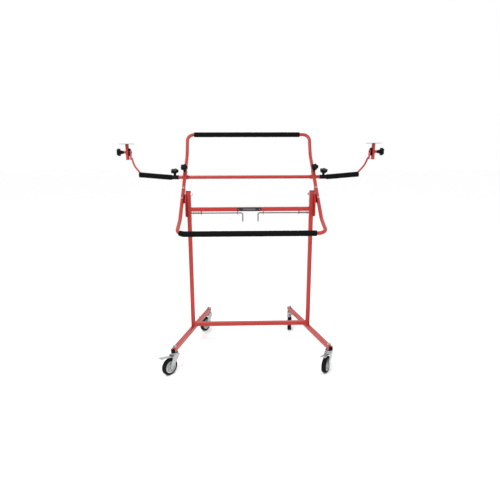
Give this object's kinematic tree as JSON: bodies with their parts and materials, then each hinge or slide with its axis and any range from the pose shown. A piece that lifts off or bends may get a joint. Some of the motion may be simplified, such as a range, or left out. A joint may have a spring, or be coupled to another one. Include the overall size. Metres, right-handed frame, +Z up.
{
  "type": "body panel stand",
  "caption": "Mobile stand with a tilting foam-padded tube frame, a sliding crossbar and two adjustable padded arms for holding vehicle bumpers and panels.",
  "frame": {"origin": "on the floor, below the middle of the stand's bounding box", "axes": "+Z up; +Y towards the back, the way the padded frame leans; +X to the right of someone facing the frame"},
  "size_m": [1.722, 0.8003, 1.4125],
  "materials": {
    "black_foam": "matte",
    "black_plastic": "satin",
    "black_rubber": "matte",
    "hub_plastic": "satin",
    "label": "gloss",
    "red_paint": "gloss",
    "tyre": "matte",
    "zinc_steel": "satin"
  },
  "bodies": {
    "base": {"left_leg": "red_paint", "right_leg": "red_paint", "base_crossbar": "red_paint", "left_upright": "red_paint", "right_upright": "red_paint", "upper_crossbar": "red_paint", "tube_end_caps": "black_plastic", "label_plate": "label", "rod_guides": "red_paint", "pivot_bolts": "zinc_steel", "pivot_nuts": "zinc_steel", "caster_stems": "zinc_steel", "caster_nuts": "zinc_steel", "left_lock_spring": "zinc_steel", "right_lock_spring": "zinc_steel"},
    "tilt": {"tilt_frame": "red_paint", "left_sector_plate": "red_paint", "right_sector_plate": "red_paint", "bracket_bolts": "zinc_steel", "bracket_nuts": "zinc_steel", "upper_foam": "black_foam", "lower_foam": "black_foam"},
    "bar": {"cross_bar": "red_paint", "slide_clamps": "red_paint"},
    "left_lock": {"left_lock_rod": "zinc_steel"},
    "left_clamp": {"left_clamp_knob": "black_plastic"},
    "left_socket": {"left_arm_socket": "black_plastic"},
    "left_socket_clamp": {"left_socket_knob": "black_plastic"},
    "left_arm": {"left_arm_rod": "red_paint", "left_arm_foam": "black_foam", "left_friction_disc": "black_rubber"},
    "left_head": {"left_post": "red_paint", "left_support_disc": "zinc_steel"},
    "left_head_clamp": {"left_head_knob": "black_plastic"},
    "right_lock": {"right_lock_rod": "zinc_steel"},
    "right_clamp": {"right_clamp_knob": "black_plastic"},
    "right_socket": {"right_arm_socket": "black_plastic"},
    "right_socket_clamp": {"right_socket_knob": "black_plastic"},
    "right_arm": {"right_arm_rod": "red_paint", "right_arm_foam": "black_foam", "right_friction_disc": "black_rubber"},
    "right_head": {"right_post": "red_paint", "right_support_disc": "zinc_steel"},
    "right_head_clamp": {"right_head_knob": "black_plastic"},
    "front_left_swivel": {"front_left_fork": "zinc_steel"},
    "front_left_wheel": {"front_left_tyre": "tyre", "front_left_hub": "hub_plastic"},
    "front_left_brake": {"front_left_brake_pedal": "zinc_steel"},
    "front_right_swivel": {"front_right_fork": "zinc_steel"},
    "front_right_wheel": {"front_right_tyre": "tyre", "front_right_hub": "hub_plastic"},
    "front_right_brake": {"front_right_brake_pedal": "zinc_steel"},
    "rear_left_swivel": {"rear_left_fork": "zinc_steel"},
    "rear_left_wheel": {"rear_left_tyre": "tyre", "rear_left_hub": "hub_plastic"},
    "rear_left_brake": {"rear_left_brake_pedal": "zinc_steel"},
    "rear_right_swivel": {"rear_right_fork": "zinc_steel"},
    "rear_right_wheel": {"rear_right_tyre": "tyre", "rear_right_hub": "hub_plastic"},
    "rear_right_brake": {"rear_right_brake_pedal": "zinc_steel"}
  },
  "joints": [
    {"name": "frame_tilt", "type": "hinge", "parent": "base", "child": "tilt", "pos_m": [0, 0.018, 1.022], "axis": [1, 0, 0], "range_deg": [-40, 20]},
    {"name": "bar_slide", "type": "slide", "parent": "tilt", "child": "bar", "axis": [0, 0.7705, 0.6374], "range_m": [-0.085, 0.13]},
    {"name": "left_lock_slide", "type": "slide", "parent": "base", "child": "left_lock", "axis": [-1, 0, 0], "range_m": [-0.016, 0.008], "stiffness_N_per_m": 600, "springref_m": 0.022, "deforming": ["left_lock_spring"]},
    {"name": "left_clamp_turn", "type": "hinge", "parent": "bar", "child": "left_clamp", "pos_m": [-0.419, 0.16605, 1.15681], "axis": [0, -0.6374, 0.7705], "range_deg": [0, 360]},
    {"name": "left_arm_turn", "type": "hinge", "parent": "bar", "child": "left_socket", "pos_m": [-0.475, 0.19828, 1.11785], "axis": [1, 0, 0], "range_deg": [-60, 60]},
    {"name": "left_socket_knob_turn", "type": "hinge", "parent": "left_socket", "child": "left_socket_clamp", "pos_m": [-0.486, 0.19126, 1.13711], "axis": [0, -0.342, 0.9397], "range_deg": [0, 360]},
    {"name": "left_arm_slide", "type": "slide", "parent": "left_socket", "child": "left_arm", "axis": [-1, 0, 0], "range_m": [0, 0.1]},
    {"name": "left_head_tilt", "type": "hinge", "parent": "left_arm", "child": "left_head", "pos_m": [-0.796, 0.23819, 1.27795], "axis": [1, 0, 0], "range_deg": [-90, 90]},
    {"name": "left_head_knob_turn", "type": "hinge", "parent": "left_head", "child": "left_head_clamp", "pos_m": [-0.8155, 0.23819, 1.27795], "axis": [-1, 0, 0], "range_deg": [0, 360]},
    {"name": "right_lock_slide", "type": "slide", "parent": "base", "child": "right_lock", "axis": [1, 0, 0], "range_m": [-0.016, 0.008], "stiffness_N_per_m": 600, "springref_m": 0.022, "deforming": ["right_lock_spring"]},
    {"name": "right_clamp_turn", "type": "hinge", "parent": "bar", "child": "right_clamp", "pos_m": [0.419, 0.16605, 1.15681], "axis": [0, -0.6374, 0.7705], "range_deg": [0, 360]},
    {"name": "right_arm_turn", "type": "hinge", "parent": "bar", "child": "right_socket", "pos_m": [0.475, 0.19828, 1.11785], "axis": [1, 0, 0], "range_deg": [-60, 60]},
    {"name": "right_socket_knob_turn", "type": "hinge", "parent": "right_socket", "child": "right_socket_clamp", "pos_m": [0.486, 0.19126, 1.13711], "axis": [0, -0.342, 0.9397], "range_deg": [0, 360]},
    {"name": "right_arm_slide", "type": "slide", "parent": "right_socket", "child": "right_arm", "axis": [1, 0, 0], "range_m": [0, 0.1]},
    {"name": "right_head_tilt", "type": "hinge", "parent": "right_arm", "child": "right_head", "pos_m": [0.796, 0.15836, 1.27795], "axis": [1, 0, 0], "range_deg": [-90, 90]},
    {"name": "right_head_knob_turn", "type": "hinge", "parent": "right_head", "child": "right_head_clamp", "pos_m": [0.8155, 0.15836, 1.27795], "axis": [1, 0, 0], "range_deg": [0, 360]},
    {"name": "front_left_swivel_turn", "type": "hinge", "parent": "base", "child": "front_left_swivel", "pos_m": [-0.45742, -0.2925, 0.12], "axis": [0, 0, 1], "continuous": true},
    {"name": "front_left_wheel_spin", "type": "hinge", "parent": "front_left_swivel", "child": "front_left_wheel", "pos_m": [-0.48506, -0.32543, 0.05], "axis": [-0.766, 0.6428, 0], "continuous": true},
    {"name": "front_left_brake_press", "type": "hinge", "parent": "front_left_swivel", "child": "front_left_brake", "pos_m": [-0.47027, -0.30782, 0.107], "axis": [0.766, -0.6428, 0], "range_deg": [0, 20]},
    {"name": "front_right_swivel_turn", "type": "hinge", "parent": "base", "child": "front_right_swivel", "pos_m": [0.45742, -0.2925, 0.12], "axis": [0, 0, 1], "continuous": true},
    {"name": "front_right_wheel_spin", "type": "hinge", "parent": "front_right_swivel", "child": "front_right_wheel", "pos_m": [0.43527, -0.32935, 0.05], "axis": [-0.8572, 0.515, 0], "continuous": true},
    {"name": "front_right_brake_press", "type": "hinge", "parent": "front_right_swivel", "child": "front_right_brake", "pos_m": [0.44711, -0.30964, 0.107], "axis": [0.8572, -0.515, 0], "range_deg": [0, 20]},
    {"name": "rear_left_swivel_turn", "type": "hinge", "parent": "base", "child": "rear_left_swivel", "pos_m": [-0.30258, 0.32849, 0.12], "axis": [0, 0, 1], "continuous": true},
    {"name": "rear_left_wheel_spin", "type": "hinge", "parent": "rear_left_swivel", "child": "rear_left_wheel", "pos_m": [-0.32537, 0.29203, 0.05], "axis": [-0.848, 0.5299, 0], "continuous": true},
    {"name": "rear_left_brake_press", "type": "hinge", "parent": "rear_left_swivel", "child": "rear_left_brake", "pos_m": [-0.31318, 0.31153, 0.107], "axis": [0.848, -0.5299, 0], "range_deg": [0, 20]},
    {"name": "rear_right_swivel_turn", "type": "hinge", "parent": "base", "child": "rear_right_swivel", "pos_m": [0.30258, 0.32849, 0.12], "axis": [0, 0, 1], "continuous": true},
    {"name": "rear_right_wheel_spin", "type": "hinge", "parent": "rear_right_swivel", "child": "rear_right_wheel", "pos_m": [0.29512, 0.28615, 0.05], "axis": [-0.9848, 0.1736, 0], "continuous": true},
    {"name": "rear_right_brake_press", "type": "hinge", "parent": "rear_right_swivel", "child": "rear_right_brake", "pos_m": [0.29911, 0.3088, 0.107], "axis": [0.9848, -0.1736, 0], "range_deg": [0, 20]}
  ]
}
